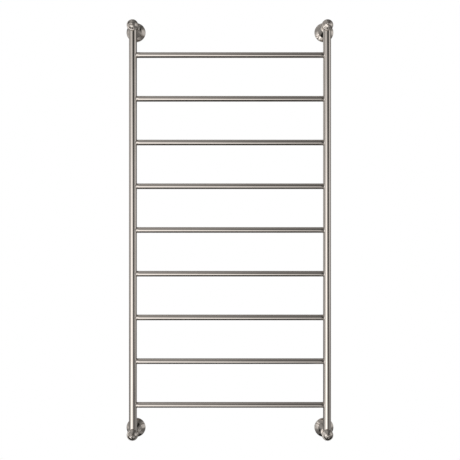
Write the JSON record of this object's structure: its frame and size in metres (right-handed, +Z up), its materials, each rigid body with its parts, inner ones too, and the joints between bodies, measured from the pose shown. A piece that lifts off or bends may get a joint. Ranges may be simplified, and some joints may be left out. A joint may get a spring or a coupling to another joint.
{
  "type": "towel warmer rack",
  "caption": "Heated ladder rail for towels, with round rungs between two uprights, held off the wall by turned posts with flanged covers and knobs.",
  "frame": {"origin": "on the wall plane, midway between the four posts", "axes": "+X to the right as seen from the room, +Y into the wall, +Z up"},
  "size_m": [0.6, 0.1098, 1.2],
  "materials": {
    "satin_nickel_tube": "satin nickel plate, polished along the tube",
    "polished_nickel": "bright nickel plate",
    "zinc_plate": "bright zinc plate",
    "black_rubber": "moulded, matt",
    "dark_steel": "blackened",
    "cable_jacket": "silicone rubber jacket, matt",
    "cutout_case": "drawn can",
    "inlet_body": "moulded, matt",
    "brass": "turned"
  },
  "bodies": {
    "rail": {"left_upright": "satin_nickel_tube", "right_upright": "satin_nickel_tube", "rung_1": "satin_nickel_tube", "rung_2": "satin_nickel_tube", "rung_3": "satin_nickel_tube", "rung_4": "satin_nickel_tube", "rung_5": "satin_nickel_tube", "rung_6": "satin_nickel_tube", "rung_7": "satin_nickel_tube", "rung_8": "satin_nickel_tube", "rung_9": "satin_nickel_tube", "top_left_post": "polished_nickel", "top_left_knob": "polished_nickel", "top_left_wall_plate": "zinc_plate", "top_right_post": "polished_nickel", "top_right_knob": "polished_nickel", "top_right_wall_plate": "zinc_plate", "bottom_left_post": "polished_nickel", "bottom_left_knob": "polished_nickel", "bottom_left_wall_plate": "zinc_plate", "bottom_right_post": "polished_nickel", "bottom_right_knob": "polished_nickel", "bottom_right_wall_plate": "zinc_plate", "grub_screws": "dark_steel", "heating_cable": "cable_jacket", "heating_cable_end_cap": "cable_jacket", "inner_lead": "cable_jacket", "thermal_cutout": "cutout_case", "supply_inlet": "inlet_body", "supply_inlet_pins": "brass", "earth_terminal": "brass", "cable_grommet": "black_rubber"},
    "top_left_rose": {"top_left_cover": "polished_nickel", "top_left_cover_seal": "black_rubber"},
    "top_right_rose": {"top_right_cover": "polished_nickel", "top_right_cover_seal": "black_rubber"},
    "bottom_left_rose": {"bottom_left_cover": "polished_nickel", "bottom_left_cover_seal": "black_rubber"},
    "bottom_right_rose": {"bottom_right_cover": "polished_nickel", "bottom_right_cover_seal": "black_rubber"}
  },
  "joints": [
    {"name": "top_left_cover_slide", "type": "slide", "parent": "rail", "child": "top_left_rose", "axis": [0, -1, 0], "range_m": [0, 0.014]},
    {"name": "top_right_cover_slide", "type": "slide", "parent": "rail", "child": "top_right_rose", "axis": [0, -1, 0], "range_m": [0, 0.014]},
    {"name": "bottom_left_cover_slide", "type": "slide", "parent": "rail", "child": "bottom_left_rose", "axis": [0, -1, 0], "range_m": [0, 0.014]},
    {"name": "bottom_right_cover_slide", "type": "slide", "parent": "rail", "child": "bottom_right_rose", "axis": [0, -1, 0], "range_m": [0, 0.014]}
  ]
}
